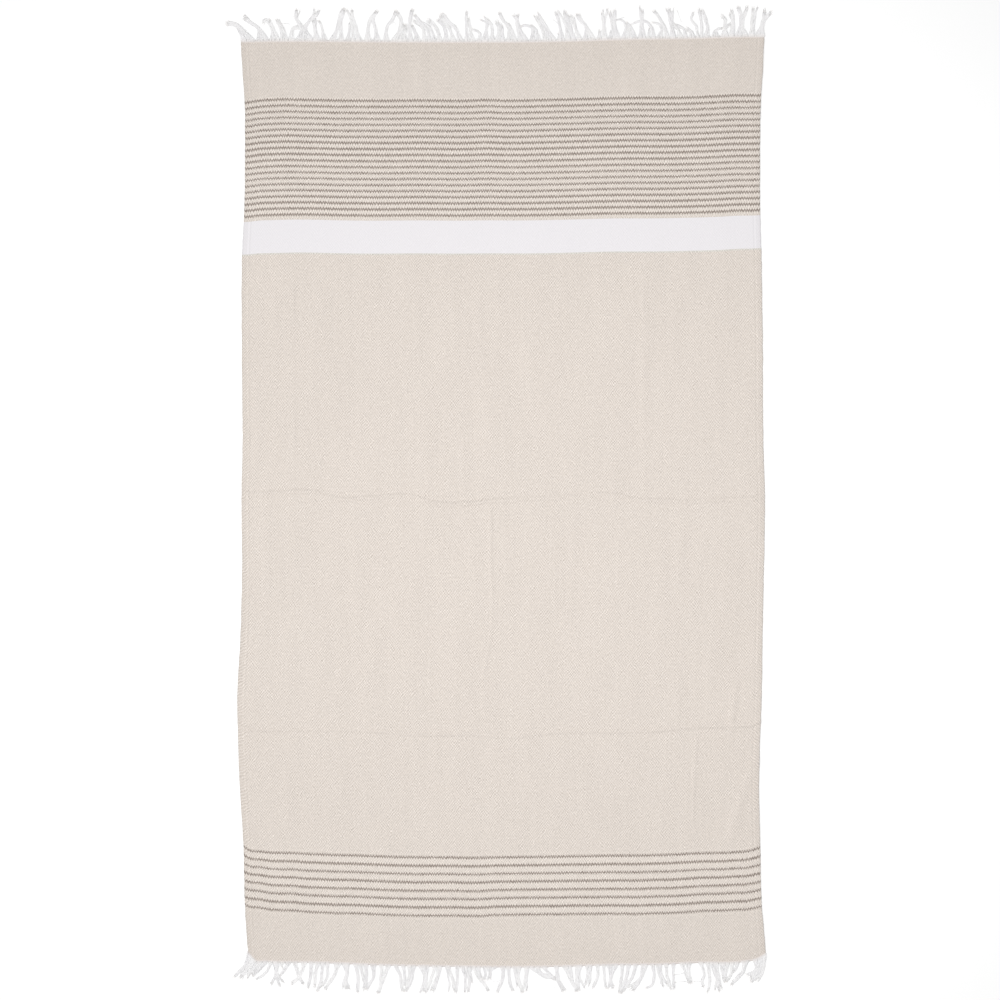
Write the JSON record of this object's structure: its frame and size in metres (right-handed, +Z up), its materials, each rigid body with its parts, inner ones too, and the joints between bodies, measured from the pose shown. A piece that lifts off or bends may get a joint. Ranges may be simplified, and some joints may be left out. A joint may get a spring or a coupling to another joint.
{
  "type": "hammam towel",
  "caption": "Flat-woven cotton hammam towel laid out flat, with a bar of narrow stripes at each end, a plain band beside one of them, and a short fringe of bare warp on white headings.",
  "frame": {"origin": "middle of the whole towel with its fringe, on the surface that it lies on", "axes": "+Y along the towel towards the end with the white band, +X across it to the right seen from above, +Z up out of its face"},
  "size_m": [1.04, 1.8958, 0.0039],
  "materials": {
    "towel_cotton": "matt cotton in a fine diamond twill, white warp and beige weft, with dark brown-grey weft stripes and a smooth white band",
    "white_warp": "matt white cotton yarn, plain woven in the heading and loose in the fringe"
  },
  "bodies": {
    "root": {"cloth": "towel_cotton", "fringe_top": "white_warp", "fringe_bottom": "white_warp"}
  },
  "joints": []
}
